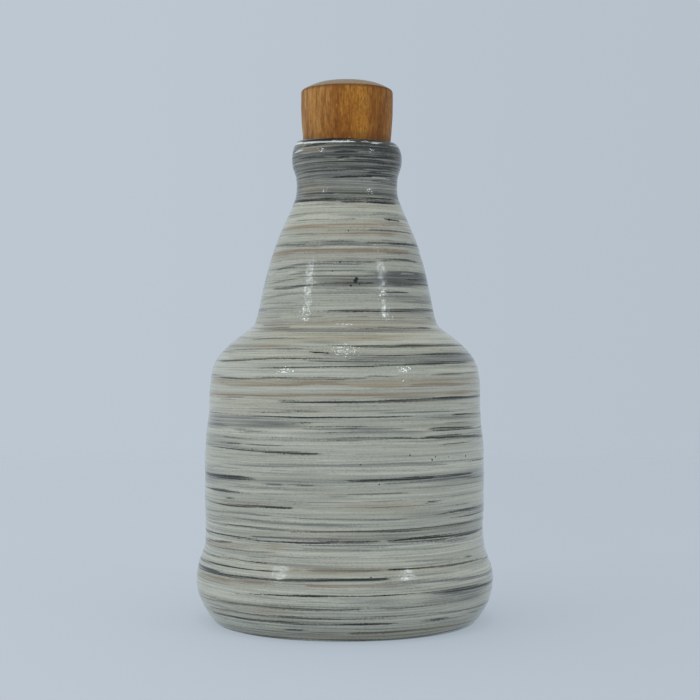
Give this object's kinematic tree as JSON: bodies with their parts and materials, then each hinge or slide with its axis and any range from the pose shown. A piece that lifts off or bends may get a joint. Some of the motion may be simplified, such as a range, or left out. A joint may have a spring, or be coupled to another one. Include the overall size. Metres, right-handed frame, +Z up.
{
  "type": "water bottle",
  "caption": "Glazed terracotta water bottle with a rolled foot, straight body, bell-shaped shoulder and neck, and a tapered wooden stopper that lifts out of the mouth.",
  "frame": {"origin": "centre of the foot, on the surface that the bottle stands on", "axes": "+Z up along the bottle's axis of revolution, from the foot to the mouth"},
  "size_m": [0.1212, 0.1212, 0.2196],
  "materials": {
    "glazed_clay": "clear gloss glaze over cream-grey slip, brushed round with grey, charcoal and tan bands; bare terracotta on the foot ring",
    "stopper_wood": "turned hardwood with upright grain, orange-brown, thin satin varnish"
  },
  "bodies": {
    "bottle": {"bottle_body": "glazed_clay"},
    "stopper": {"stopper": "stopper_wood"}
  },
  "joints": [
    {"name": "stopper_lift", "type": "slide", "parent": "bottle", "child": "stopper", "axis": [0, 0, 1], "range_m": [0, 0.06]}
  ]
}
